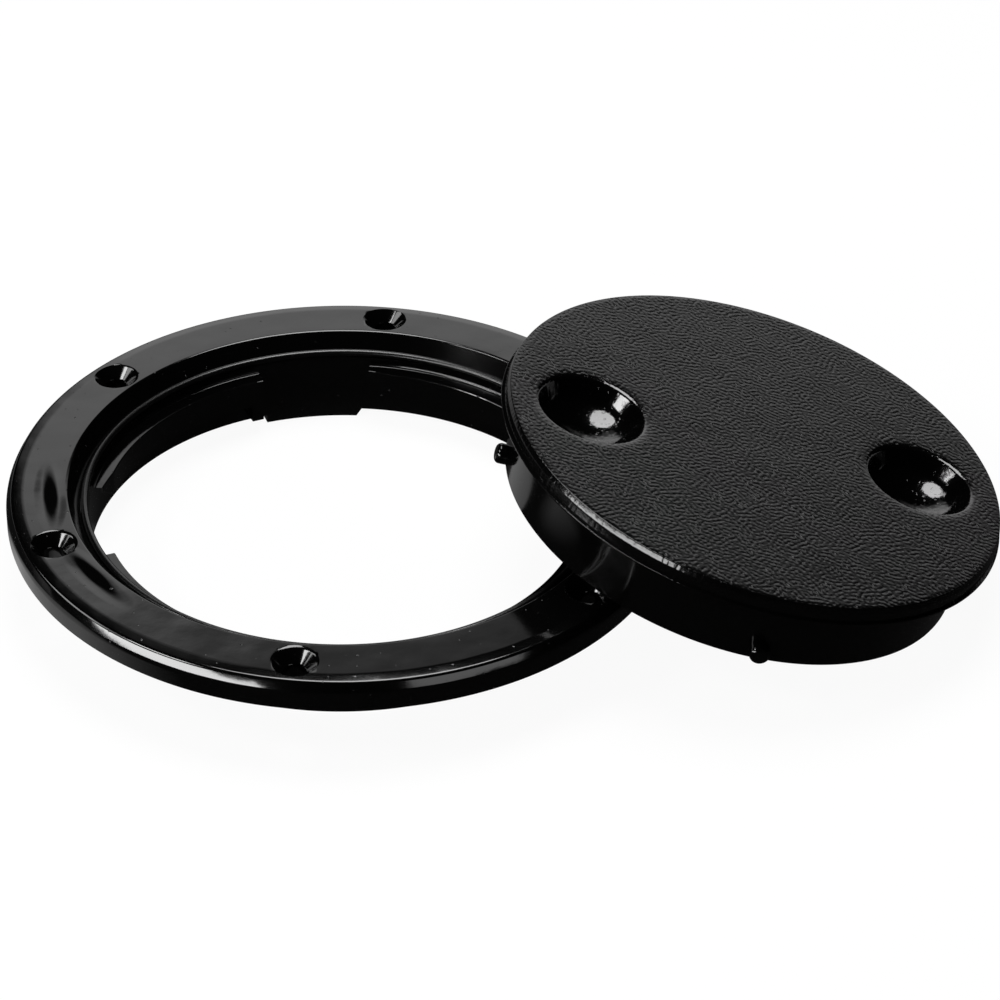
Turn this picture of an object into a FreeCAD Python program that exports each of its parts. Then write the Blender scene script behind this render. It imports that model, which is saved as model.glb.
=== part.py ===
import FreeCAD, Part
import math
import os
import Sketcher

# Round twist-lock inspection plate for a boat's deck, 143 mm across.
# The mounting ring stands on its collar and the tab under it, and the lid lies taken
# off: its skirt leans on the ring's flange, and one locking peg is down on the surface
# that the ring stands on. Frame: origin on the ring's axis in the deck plane, which is
# the flange's underside. +Z is up, out of the deck, and the lid leans towards +X.
# All lengths are millimetres and all angles are degrees.

SIZES = [
    ("bore_radius", 54.4, "inside of the collar; the sizes across follow from it"),
    ("seat_width", 1.5, "flat seat that holds the seal, outwards from the bore"),
    ("mouth_slope", 2.75, "slope from the seat's wall out to the flange top's inner edge"),
    ("flange_width", 12.85, "from that edge to the outside of the flange"),
    ("flange_height", 6.8, "flange top above the deck, at its inner edge"),
    ("flange_fall", 0.2, "how far the flange top falls to its outer rounding"),
    ("flange_round", 3.0, "rounding of the flange's outer top edge"),
    ("seat_depth", 4.5, "seat below the flange top"),
    ("seat_wall", 0.8, "upright wall at the outside of the seat"),
    ("collar_wall", 2.6, "thickness of the collar"),
    ("collar_depth", 11.6, "collar below the deck"),
    ("tab_azimuth", 88.5, "side of the tab under the collar, from +X"),
    ("tab_span", 23.0, "angle that the tab spans"),
    ("tab_drop", 1.95, "how far the tab reaches below the collar"),
    ("tab_slant", 1.2, "slant of the tab's side at its azimuth"),
    ("inner_wall", 1.55, "flange top's inner edge to the hollow under the flange"),
    ("outer_wall", 2.9, "from that hollow to the outside of the flange"),
    ("hollow_depth", 3.9, "depth of the hollow under the flange"),
    ("rib_width", 1.6, "ribs across the hollow"),
    ("hole_azimuth", 24.4, "first screw hole, from +X"),
    ("hole_inset", 5.9, "flange top's inner edge to the middle of a screw hole"),
    ("hole_count", 6, "screw holes"),
    ("hole_radius", 2.3, "screw hole"),
    ("sink_radius", 4.6, "countersink at the flange top"),
    ("boss_radius", 5.6, "boss round a screw hole"),
    ("lug_count", 4, "locking lugs in the ring, and pegs on the lid"),
    ("lug_azimuth", 23.7, "stop end of the first lug, from +X"),
    ("lug_span", 63.0, "angle that a lug spans"),
    ("lug_width", 3.4, "how far the lugs stand in from the bore"),
    ("lug_top", 2.05, "top of the lugs below the seat"),
    ("lug_drop", 7.75, "lug below the seat at the end where a peg enters"),
    ("lug_rise", 0.8, "how much further its underside drops to the stop"),
    ("lug_band", 1.6, "height of the sloping band along its underside"),
    ("lead_length", 6.6, "length of a lug's steep entry"),
    ("lead_left", 1.2, "height of a lug's end above its entry"),
    ("stop_span", 2.5, "angle that the stop at a lug's end spans"),
    ("stop_drop", 12.5, "stop below the seat"),
    ("flange_flats", 2, "flats that stand for the rounding of the flange"),
    ("edge_flats", 2, "flats that stand for the rounding of a smaller edge"),
    ("overlap", 1.0, "how far joined pieces of one moulding run into each other"),
    ("seal_section", 0.8, "radius of the seal ring's section"),
    ("seal_sides", 8, "flats that stand for its round section, a multiple of four"),
    ("seal_gap", 0.05, "seal ring to the seat and to its wall"),
    ("rim_clearance", 0.3, "lid's rim to the wall of the seat"),
    ("rim_thickness", 3.8, "thickness of the lid's rim"),
    ("rim_round", 1.2, "rounding of the rim's top edge"),
    ("plate_thickness", 2.8, "thickness of the lid's top"),
    ("skirt_clearance", 0.6, "lid's skirt to the lugs"),
    ("skirt_wall", 2.4, "thickness of the skirt"),
    ("skirt_depth", 18.6, "foot of the skirt below the lid's top"),
    ("peg_radius", 2.2, "locking peg"),
    ("peg_length", 2.9, "how far a peg stands out of the skirt"),
    ("peg_round", 1.1, "rounding of a peg's end"),
    ("peg_lift", 0.5, "pegs above the foot of the skirt"),
    ("dimple_inset", 13.6, "middle of a finger dimple, in from the skirt's outside"),
    ("dimple_count", 2, "finger dimples"),
    ("dimple_radius", 12.2, "mouth of a finger dimple, before rounding"),
    ("dimple_round", 1.6, "rounding of a dimple's mouth"),
    ("dimple_edge", 9.2, "edge between a dimple's wall and its bowl"),
    ("dimple_wall", 4.0, "depth of that edge"),
    ("dimple_depth", 7.2, "depth of a dimple's bowl"),
    ("bowl_flats", 2, "flats that stand for the bowl's curve"),
    ("cup_wall", 2.2, "wall round a dimple, under the lid"),
    ("cup_flat", 6.0, "radius of the flat under that cup"),
    ("web_width", 1.8, "webs under the lid"),
    ("web_height", 4.0, "height of the webs"),
    ("lid_turn", 3.6, "turn of the lid about its own axis"),
    ("lean_overlap", 36.4, "how far the skirt's foot reaches in over the flange"),
    ("lean_azimuth", 0.6, "direction in which the lid leans, from +X"),
    ("lean_gap", 0.1, "lid to the flange and to the surface beneath"),
    ("surface_drop", 13.7, "that surface below the deck plane, where the lid is down on it"),
]

doc = FreeCAD.newDocument("inspection_plate")
sheet = doc.addObject("Spreadsheet::Sheet", "sizes")
for row, (alias, value, note) in enumerate(SIZES, 1):
    sheet.set(f"A{row}", alias)
    sheet.set(f"B{row}", str(value))
    sheet.set(f"C{row}", note)
    sheet.setAlias(f"B{row}", alias)
doc.recompute()

ALIASES = {alias for alias, _, _ in SIZES}
SEAT = "( flange_height - seat_depth )"
SEAT_RADIUS = "( bore_radius + seat_width )"
MOUTH = f"( {SEAT_RADIUS} + mouth_slope )"
EDGE = f"( {MOUTH} + flange_width )"
HOLLOW_INNER = f"( {MOUTH} + inner_wall )"
HOLLOW_OUTER = f"( {EDGE} - outer_wall )"
CIRCLE = f"( {MOUTH} + hole_inset )"
LUGS = "( bore_radius - lug_width )"
RIM = f"( {SEAT_RADIUS} - rim_clearance )"
SKIRT = f"( {LUGS} - skirt_clearance )"
SKIRT_INSIDE = f"( {SKIRT} - skirt_wall )"
PEG_END = f"( {SKIRT} + peg_length )"
DIMPLE = f"( {SKIRT} - dimple_inset )"
DIMPLE_SLOPE = "atan( dimple_wall / ( dimple_radius - dimple_edge ) )"
BOWL = ("( ( dimple_edge ^ 2 + ( dimple_depth - dimple_wall ) ^ 2 )"
        " / ( 2 * ( dimple_depth - dimple_wall ) ) )")
PEG_LEVEL = "( 0 - skirt_depth + peg_lift + peg_radius )"


def size(alias):
    """The number in one cell of the sheet."""
    return float(sheet.get(alias))


def cell(formula):
    """A formula of spaced words, with each alias made a reference to its cell."""
    return " ".join(f"sizes.{word}" if word in ALIASES else word for word in formula.split())


def work_out(item, formula):
    """The number that a formula gives now."""
    return float(item.evalExpression(cell(formula)))


def spot(sketch, x, y):
    return FreeCAD.Vector(work_out(sketch, x), work_out(sketch, y), 0)


def own(body, role):
    """One of a body's own origin planes or axes."""
    return next(item for item in body.Origin.OriginFeatures if item.Role == role)


def add_body(label):
    body = doc.addObject("PartDesign::Body", label)
    body.Label = label
    return body


def add_sketch(body, name, role, level=None, turn=None):
    """A sketch on an origin plane, lifted along its normal or turned about +Z."""
    sketch = body.newObject("Sketcher::SketchObject", name)
    sketch.AttachmentSupport = (own(body, role), [""])
    sketch.MapMode = "FlatFace"
    if turn:
        upright = FreeCAD.Vector(0, 0, 1) if role == "XY_Plane" else FreeCAD.Vector(0, 1, 0)
        sketch.AttachmentOffset = FreeCAD.Placement(
            FreeCAD.Vector(), FreeCAD.Rotation(upright, 1))
        sketch.setExpression("AttachmentOffset.Rotation.Angle", cell(turn))
    if level:
        sketch.setExpression("AttachmentOffset.Base.z", cell(level))
    return sketch


def tie(sketch, kind, formula, *ends):
    """A dimension of a sketch, bound to a formula."""
    number = sketch.addConstraint(Sketcher.Constraint(kind, *ends, work_out(sketch, formula)))
    sketch.setExpression(f"Constraints[{number}]", cell(formula))


def hold(sketch, side, point, x, y):
    """Holds one end of a side at the place that two formulas give."""
    for kind, axis, formula in (("DistanceX", -2, x), ("DistanceY", -1, y)):
        if formula == "0":
            sketch.addConstraint(Sketcher.Constraint("PointOnObject", side, point, axis))
        else:
            tie(sketch, kind, formula, -1, 1, side, point)


def outline(sketch, points, arcs=None):
    """A closed outline through points given by pairs of formulas.

    arcs holds the sides that are arcs, by the number of the point that each starts
    from: the arc's centre, its radius, and 1 or -1 for its sense.
    """
    arcs = arcs or {}
    places = [spot(sketch, *point) for point in points]
    ends = []
    for index, place in enumerate(places):
        following = places[(index + 1) % len(places)]
        if index not in arcs:
            ends.append((sketch.addGeometry(Part.LineSegment(place, following), False), 1, 2))
            continue
        middle, radius, sense = arcs[index]
        centre = spot(sketch, *middle)
        circle = Part.Circle(centre, FreeCAD.Vector(0, 0, 1), (place - centre).Length)
        spokes = [end - centre for end in (place, following)[::sense]]
        angles = [math.atan2(spoke.y, spoke.x) for spoke in spokes]
        side = sketch.addGeometry(Part.ArcOfCircle(circle, *angles), False)
        tie(sketch, "Radius", radius, side)
        ends.append((side, *(1, 2)[::sense]))
    for index, point in enumerate(points):
        side, start, _ = ends[index]
        before, _, finish = ends[index - 1]
        sketch.addConstraint(Sketcher.Constraint("Coincident", before, finish, side, start))
        hold(sketch, side, start, *point)


def corner(x, y, radius, count):
    """Points of a quarter of a circle about x, y, from its top to its outside."""
    angles = [f"( 90 - {step} * 90 / {count} )" for step in range(round(size(count)) + 1)]
    return [(f"{x} + ( {radius} ) * cos( {angle} )", f"{y} + ( {radius} ) * sin( {angle} )")
            for angle in angles]


def disc(sketch, x, radius):
    """A circle on a sketch's first axis."""
    centre = spot(sketch, x, "0")
    circle = Part.Circle(centre, FreeCAD.Vector(0, 0, 1), work_out(sketch, radius))
    side = sketch.addGeometry(circle, False)
    tie(sketch, "Radius", radius, side)
    hold(sketch, side, 3, x, "0")


def sector(sketch, inner, outer, start, end):
    """A piece of a ring about the origin, between two radii and two angles."""
    corners = ((inner, start), (outer, start), (outer, end), (inner, end))
    points = [(f"( {radius} ) * cos( {angle} )", f"( {radius} ) * sin( {angle} )")
              for radius, angle in corners]
    outline(sketch, points, {1: (("0", "0"), outer, 1), 3: (("0", "0"), inner, -1)})


def turned(body, name, kind, sketch, spine=None):
    """A solid or a cut turned from a sketch, about its upright axis or about a spine."""
    axis = "V_Axis"
    if spine:
        ends = [spot(sketch, *point) for point in spine]
        line = sketch.addGeometry(Part.LineSegment(*ends), True)
        for number, point in enumerate(spine, 1):
            hold(sketch, line, number, *point)
        axis = "Axis0"
    feature = body.newObject(f"PartDesign::{kind}", name)
    feature.Profile = sketch
    feature.ReferenceAxis = (sketch, [axis])
    feature.Angle = 360
    doc.recompute()
    return feature


def pushed(body, name, kind, sketch, length, reverse=False):
    """A solid or a cut pushed out of a sketch."""
    feature = body.newObject(f"PartDesign::{kind}", name)
    feature.Profile = sketch
    feature.setExpression("Length", cell(length))
    feature.Reversed = reverse
    doc.recompute()
    return feature


def repeated(body, name, originals, count):
    """Features repeated round the body's own Z axis."""
    feature = body.newObject("PartDesign::PolarPattern", name)
    feature.Originals = originals
    feature.Axis = (own(body, "Z_Axis"), [""])
    feature.Angle = 360
    feature.setExpression("Occurrences", cell(count))
    body.Tip = feature
    doc.recompute()
    return feature


# Ring

def add_lugs(body):
    """Locking lugs, added before the collar so that its wall closes them outside."""
    outer = "bore_radius + overlap"
    stop_end = "lug_azimuth"
    entry_end = "lug_azimuth + lug_span"

    top = f"{SEAT} - lug_top"
    block = add_sketch(body, "lug_outline", "XY_Plane", level=top)
    sector(block, LUGS, outer, stop_end, entry_end)
    solid = pushed(body, "lug_block", "Pad", block, "lug_drop - lug_top - lug_band / 2",
                   reverse=True)

    band = add_sketch(body, "lug_band_section", "XZ_Plane", turn=stop_end)
    low = f"{SEAT} - lug_drop - lug_rise"
    outline(band, [
        (LUGS, low),
        (outer, low),
        (outer, f"{low} + lug_band"),
        (LUGS, f"{low} + lug_band"),
    ])
    ramp = body.newObject("PartDesign::AdditiveHelix", "lug_ramp")
    ramp.Profile = band
    ramp.ReferenceAxis = (band, ["V_Axis"])
    ramp.Mode = "pitch-turns-angle"
    ramp.setExpression("Pitch", cell("lug_rise * 360 / lug_span"))
    ramp.setExpression("Turns", cell("lug_span / 360"))
    ramp.LeftHanded = False
    doc.recompute()

    stop = add_sketch(body, "stop_outline", "XY_Plane", level=top)
    sector(stop, LUGS, outer, stop_end, f"{stop_end} + stop_span")
    end_stop = pushed(body, "lug_stop", "Pad", stop, "stop_drop - lug_top", reverse=True)

    entry = add_sketch(body, "entry_outline", "XZ_Plane", turn=f"{entry_end} + 90")
    outline(entry, [
        ("0", f"{top} - lead_left"),
        ("0 - lead_length", f"{SEAT} - lug_drop - lug_rise / 10"),
        ("0 - lead_length", f"{SEAT} - stop_drop"),
        ("overlap", f"{SEAT} - stop_drop"),
        ("overlap", f"{top} - lead_left"),
    ])
    lead = pushed(body, "lug_entry", "Pocket", entry, EDGE, reverse=True)
    repeated(body, "lugs", [solid, ramp, end_stop, lead], "lug_count")


def add_flange(body):
    """Flange, seat and collar, turned about the ring's axis."""
    section = add_sketch(body, "ring_section", "XZ_Plane")
    outside = "( bore_radius + collar_wall )"
    crown = "( flange_height - flange_fall )"
    outline(section, [
        ("bore_radius", SEAT),
        (SEAT_RADIUS, SEAT),
        (SEAT_RADIUS, f"{SEAT} + seat_wall"),
        (MOUTH, "flange_height"),
        *corner(f"{EDGE} - flange_round", f"{crown} - flange_round",
                "flange_round", "flange_flats"),
        (EDGE, "0"),
        (outside, "0"),
        (outside, "0 - collar_depth"),
        ("bore_radius", "0 - collar_depth"),
    ])
    turned(body, "ring_turned", "Revolution", section)


def add_tab(body):
    """Deeper piece of the collar at the ring's far side."""
    tab = add_sketch(body, "tab_outline", "XY_Plane", level="overlap - collar_depth")
    sector(tab, "bore_radius", "bore_radius + collar_wall",
           "tab_azimuth", "tab_azimuth + tab_span")
    pushed(body, "tab", "Pad", tab, "tab_drop + overlap", reverse=True)

    slant = add_sketch(body, "slant_outline", "XZ_Plane", turn="tab_azimuth + 90")
    bottom = "0 - collar_depth - tab_drop"
    outline(slant, [
        ("0", "0 - collar_depth"),
        ("0 - tab_slant", bottom),
        ("0 - tab_slant", f"{bottom} - overlap"),
        ("overlap", f"{bottom} - overlap"),
        ("overlap", "0 - collar_depth"),
    ])
    pushed(body, "tab_slanted", "Pocket", slant, EDGE, reverse=True)


def add_hollow(body):
    """Hollow under the flange, with the bosses and ribs that stand in it."""
    hollow = add_sketch(body, "hollow_section", "XZ_Plane")
    outline(hollow, [
        (HOLLOW_INNER, "0"),
        (HOLLOW_OUTER, "0"),
        (HOLLOW_OUTER, "hollow_depth"),
        (HOLLOW_INNER, "hollow_depth"),
    ])
    turned(body, "flange_hollow", "Groove", hollow)

    boss = add_sketch(body, "boss_outline", "XY_Plane", turn="hole_azimuth")
    disc(boss, CIRCLE, "boss_radius")
    boss_pad = pushed(body, "boss", "Pad", boss, "hollow_depth + overlap")

    rib = add_sketch(body, "rib_outline", "XY_Plane", turn="hole_azimuth + 180 / hole_count")
    outline(rib, [
        (f"{HOLLOW_INNER} - overlap", "0 - rib_width / 2"),
        (f"{HOLLOW_OUTER} + overlap", "0 - rib_width / 2"),
        (f"{HOLLOW_OUTER} + overlap", "rib_width / 2"),
        (f"{HOLLOW_INNER} - overlap", "rib_width / 2"),
    ])
    rib_pad = pushed(body, "rib", "Pad", rib, "hollow_depth + overlap")
    repeated(body, "bosses_and_ribs", [boss_pad, rib_pad], "hole_count")


def add_screw_holes(body):
    """Countersunk screw holes through the flange and its bosses."""
    place = add_sketch(body, "hole_place", "XY_Plane", level="flange_height", turn="hole_azimuth")
    disc(place, CIRCLE, "hole_radius")
    hole = body.newObject("PartDesign::Hole", "screw_hole")
    hole.Profile = place
    hole.ThreadType = "None"
    hole.DepthType = "ThroughAll"
    hole.setExpression("Diameter", cell("2 * hole_radius"))
    hole.HoleCutType = "Countersink"
    hole.HoleCutCustomValues = True
    hole.setExpression("HoleCutDiameter", cell("2 * sink_radius"))
    hole.HoleCutCountersinkAngle = 90
    body.Tip = hole
    doc.recompute()
    repeated(body, "screw_holes", [hole], "hole_count")


# Lid

def add_plate(body):
    """Top, rim and skirt of the lid, turned about its axis."""
    section = add_sketch(body, "lid_section", "XZ_Plane")
    outline(section, [
        ("0", "0"),
        *corner(f"{RIM} - rim_round", "0 - rim_round", "rim_round", "edge_flats"),
        (RIM, "0 - rim_thickness"),
        (SKIRT, "0 - rim_thickness"),
        (SKIRT, "0 - skirt_depth"),
        (SKIRT_INSIDE, "0 - skirt_depth"),
        (SKIRT_INSIDE, "0 - plate_thickness"),
        ("0", "0 - plate_thickness"),
    ])
    turned(body, "lid_turned", "Revolution", section)


def add_dimples(body):
    """Finger dimples, with the cups and webs that they show as under the lid."""
    cup = add_sketch(body, "cup_section", "XZ_Plane")
    brim = "( dimple_edge + cup_wall )"
    outline(cup, [
        (DIMPLE, "0 - plate_thickness / 2"),
        (DIMPLE, "0 - dimple_depth - cup_wall"),
        (f"{DIMPLE} + cup_flat", "0 - dimple_depth - cup_wall"),
        (f"{DIMPLE} + {brim}", "0 - dimple_wall - cup_wall / 2"),
        (f"{DIMPLE} + {brim} + overlap", "0 - plate_thickness / 2"),
    ])
    spine = ((DIMPLE, "0"), (DIMPLE, "0 - dimple_depth"))
    solid = turned(body, "cup", "Revolution", cup, spine)
    repeated(body, "cups", [solid], "dimple_count")

    for name, turn in (("web_along", "0"), ("web_across", "90")):
        web = add_sketch(body, f"{name}_outline", "XY_Plane",
                         level="0 - plate_thickness / 2", turn=turn)
        reach = f"( {SKIRT} - skirt_wall / 2 )"
        outline(web, [
            (f"0 - {reach}", "0 - web_width / 2"),
            (reach, "0 - web_width / 2"),
            (reach, "web_width / 2"),
            (f"0 - {reach}", "web_width / 2"),
        ])
        pushed(body, name, "Pad", web, "plate_thickness / 2 + web_height", reverse=True)

    dimple = add_sketch(body, "dimple_section", "XZ_Plane")
    shoulder = f"( dimple_round * tan( {DIMPLE_SLOPE} / 2 ) )"
    middle_flat = f"( 1 - cos( {DIMPLE_SLOPE} / 2 ) )"
    outline(dimple, [
        (DIMPLE, "0"),
        (DIMPLE, "0 - dimple_depth"),
        *[(f"{DIMPLE} + dimple_edge * {step} / bowl_flats",
           f"{BOWL} - dimple_depth - sqrt( {BOWL} ^ 2 - ( dimple_edge * {step} / bowl_flats ) ^ 2 )")
          for step in range(1, round(size("bowl_flats")) + 1)],
        (f"{DIMPLE} + dimple_radius - {shoulder} * cos( {DIMPLE_SLOPE} )",
         f"0 - {shoulder} * sin( {DIMPLE_SLOPE} )"),
        (f"{DIMPLE} + dimple_radius + {shoulder} * {middle_flat}",
         f"0 - dimple_round * {middle_flat}"),
        (f"{DIMPLE} + dimple_radius + {shoulder}", "0"),
    ])
    cut = turned(body, "dimple", "Groove", dimple, spine)
    repeated(body, "dimples", [cut], "dimple_count")


def add_pegs(body):
    """Locking pegs round the foot of the skirt."""
    peg = add_sketch(body, "peg_section", "XZ_Plane")
    root = f"{SKIRT} - skirt_wall / 2"
    outline(peg, [
        (root, PEG_LEVEL),
        (root, f"{PEG_LEVEL} + peg_radius"),
        *corner(f"{PEG_END} - peg_round", f"{PEG_LEVEL} + peg_radius - peg_round",
                "peg_round", "edge_flats"),
        (PEG_END, PEG_LEVEL),
    ])
    spine = ((root, PEG_LEVEL), (PEG_END, PEG_LEVEL))
    solid = turned(body, "peg", "Revolution", peg, spine)
    repeated(body, "pegs", [solid], "lug_count")


def lean():
    """Tilt of the leaning lid, and where the middle of its top is.

    The inner edge of the skirt's foot lies across the flange's rounded edge at two
    places, and the end of the downhill peg is on the surface beneath the ring.
    """
    surface = size("lean_gap") - size("surface_drop")
    foot_radius = work_out(sheet, SKIRT_INSIDE)
    reach = work_out(sheet, EDGE) + foot_radius - size("lean_overlap")
    depth = size("skirt_depth")
    rounding = size("flange_round") + size("lean_gap")
    crown = work_out(sheet, EDGE) - size("flange_round")
    level = size("flange_height") - size("flange_fall") - size("flange_round")
    off_line = math.cos(math.radians(size("lid_turn") - size("lean_azimuth")))
    tilt = math.radians(15)
    across = -0.5
    for _ in range(80):
        slope = math.atan(math.sin(tilt) * crown / reach)
        touch = crown + rounding * math.sin(slope)
        height = level + rounding * math.cos(slope)
        end = work_out(sheet, PEG_END) - size("peg_round") * (1 - math.sin(tilt))
        peg_x = end * off_line
        peg_z = size("peg_lift") - depth + size("peg_round") * (1 - math.cos(tilt))
        across = (touch ** 2 - reach ** 2 - foot_radius ** 2
                  + (foot_radius * math.sin(tilt) * across) ** 2)
        across /= 2 * reach * foot_radius * math.cos(tilt)
        lift = height - surface + (peg_z + depth) * math.cos(tilt)
        tilt = math.asin(lift / (peg_x - foot_radius * across))
    top_z = surface + peg_x * math.sin(tilt) - peg_z * math.cos(tilt)
    return math.degrees(tilt), reach + depth * math.sin(tilt), top_z


def place_lid(body):
    """Puts the lid in its leaning pose."""
    tilt, top_x, top_z = lean()
    across = FreeCAD.Rotation(FreeCAD.Vector(0, 0, 1), size("lean_azimuth"))
    down = FreeCAD.Rotation(FreeCAD.Vector(0, 1, 0), tilt)
    about = FreeCAD.Rotation(
        FreeCAD.Vector(0, 0, 1), size("lid_turn") - size("lean_azimuth"))
    middle = across.multVec(FreeCAD.Vector(top_x, 0, top_z))
    body.Placement = FreeCAD.Placement(middle, across.multiply(down).multiply(about))
    print(f"lid tilt {tilt:.2f} middle {middle}")


# Seal

def add_seal(body):
    """The seal ring on its seat, with flats that touch its round section from outside."""
    section = add_sketch(body, "seal_outline", "XZ_Plane")
    sides = round(size("seal_sides"))
    radius = "seal_section / cos( 180 / seal_sides )"
    outline(section, [
        (f"{SEAT_RADIUS} - seal_gap - seal_section + {radius} * cos( {side + 0.5} * 360 / {sides} )",
         f"{SEAT} + seal_gap + seal_section + {radius} * sin( {side + 0.5} * 360 / {sides} )")
        for side in range(sides)])
    turned(body, "seal_turned", "Revolution", section)


# Pieces

ring = add_body("deck_ring")
ring.AllowCompound = True
add_lugs(ring)
add_flange(ring)
add_tab(ring)
add_hollow(ring)
add_screw_holes(ring)

lid = add_body("lid")
add_plate(lid)
add_dimples(lid)
add_pegs(lid)
place_lid(lid)

seal = add_body("seal_ring")
add_seal(seal)

for item in doc.Objects:
    if "Invalid" in item.State or "Error" in item.State:
        raise RuntimeError(f"{item.Name}: {item.State} {item.getStatusString()}")

os.makedirs("parts", exist_ok=True)
for piece in (ring, lid, seal):
    shape = piece.Shape
    if shape.isNull() or not shape.isValid() or len(shape.Solids) != 1:
        raise RuntimeError(f"{piece.Label}: {len(shape.Solids)} solids")
    shape.exportStep(f"parts/{piece.Label}.step")
    print(piece.Label, round(shape.Volume), shape.BoundBox)
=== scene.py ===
from math import asin, atan, atan2, cos, degrees, hypot, pi, radians, sin, tan

import bmesh
import bpy
from bpy.props import FloatProperty, FloatVectorProperty, IntProperty, PointerProperty
from mathutils import Euler, Matrix, Vector


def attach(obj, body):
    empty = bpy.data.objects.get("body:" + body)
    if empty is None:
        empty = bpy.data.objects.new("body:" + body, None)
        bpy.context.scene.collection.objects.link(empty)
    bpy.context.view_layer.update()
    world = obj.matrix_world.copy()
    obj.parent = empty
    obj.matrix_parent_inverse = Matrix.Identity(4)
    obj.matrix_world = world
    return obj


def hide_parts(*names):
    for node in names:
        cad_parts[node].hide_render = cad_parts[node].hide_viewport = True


bl_info = {
    "name": "Deck inspection plate",
    "version": (1, 0, 0),
    "blender": (4, 5, 0),
    "location": "3D View > Sidebar > Deck plate",
    "description": "Builds a twist-lock deck plate, its lid taken off, round its CAD frame",
    "category": "Add Mesh",
}

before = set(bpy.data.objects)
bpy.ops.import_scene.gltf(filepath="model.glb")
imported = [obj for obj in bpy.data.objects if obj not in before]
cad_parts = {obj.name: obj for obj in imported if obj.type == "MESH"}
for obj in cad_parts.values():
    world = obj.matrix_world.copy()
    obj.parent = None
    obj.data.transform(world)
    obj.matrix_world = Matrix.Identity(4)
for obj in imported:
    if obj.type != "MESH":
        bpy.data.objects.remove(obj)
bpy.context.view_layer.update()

# Sides of the circles of the large pieces, of dimples, of holes and cups, of pegs and bosses
FULL_SIDES = 360
DIMPLE_SIDES = 180
HOLE_SIDES = 96
PEG_SIDES = 64

# Metres within which two points are one, and within which a point is on a circle or a level
MERGE = 1e-7
NEAR = 1e-5

# Degrees of slack for points at the ends of a span round the ring
SLACK = 1e-3

# Metres by which a tool reaches past the surface that it cuts or joins
PAST = 0.002

# Corners of a screw hole: metres out from the countersink's edge and up from the flange top,
# then metres out from the hole's edge and up from the foot of the countersink
FLARE = ((0.0006, 0.0001), (0.00032, -0.00002), (0.00012, -0.00009), (-0.00012, -0.00026))
NECK = ((0.00012, 0.00002), (0.0, -0.0002))

# Warped patches of the flange: their middles, and half their width across and round the ring
DENTS = ((-0.0613, -0.0093), (-0.0488, -0.0375))
DENT_REACH = (0.0037, 0.0140)

# Noises in the skins: scale per metre, detail and roughness
RING_WAVES = (85.0, 1.5, 0.45)
RING_RIPPLE = (420.0, 2.0, 0.5)
RING_SPECKS = (900.0, 1.0, 0.4)
RING_HAZE = (30.0, 3.0, 0.6)
LID_WAVES = (70.0, 1.0, 0.5)
LID_SPECKS = (800.0, 1.0, 0.4)
SEAL_SKIN = (900.0, 2.0, 0.5)
SEAL_HAZE = (200.0, 2.0, 0.5)

# Middle of the whole plate, which the lamps face
AIM = Vector((0.045, 0.0, 0.0))

# Watts of a lamp of brightness 1, per square metre
WATTS = 4.0


def length(name, description, default):
    """A size in metres."""
    return FloatProperty(name=name, description=description, default=default,
                         unit="LENGTH", precision=5)


def turn(name, description, default):
    """An angle, given here in degrees."""
    return FloatProperty(name=name, description=description, default=radians(default),
                         subtype="ANGLE")


def amount(name, description, default):
    """A plain number that isn't negative."""
    return FloatProperty(name=name, description=description, default=default, min=0.0)


def count(name, description, default):
    """A number of things."""
    return IntProperty(name=name, description=description, default=default, min=1)


def place(name, description, default):
    """A point, in metres."""
    return FloatVectorProperty(name=name, description=description, default=default,
                               subtype="XYZ", unit="LENGTH")


def colour(name, description, default):
    """A colour, in linear red, green and blue."""
    return FloatVectorProperty(name=name, description=description, default=default,
                               subtype="COLOR", size=3, min=0.0, max=1.0)


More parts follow.
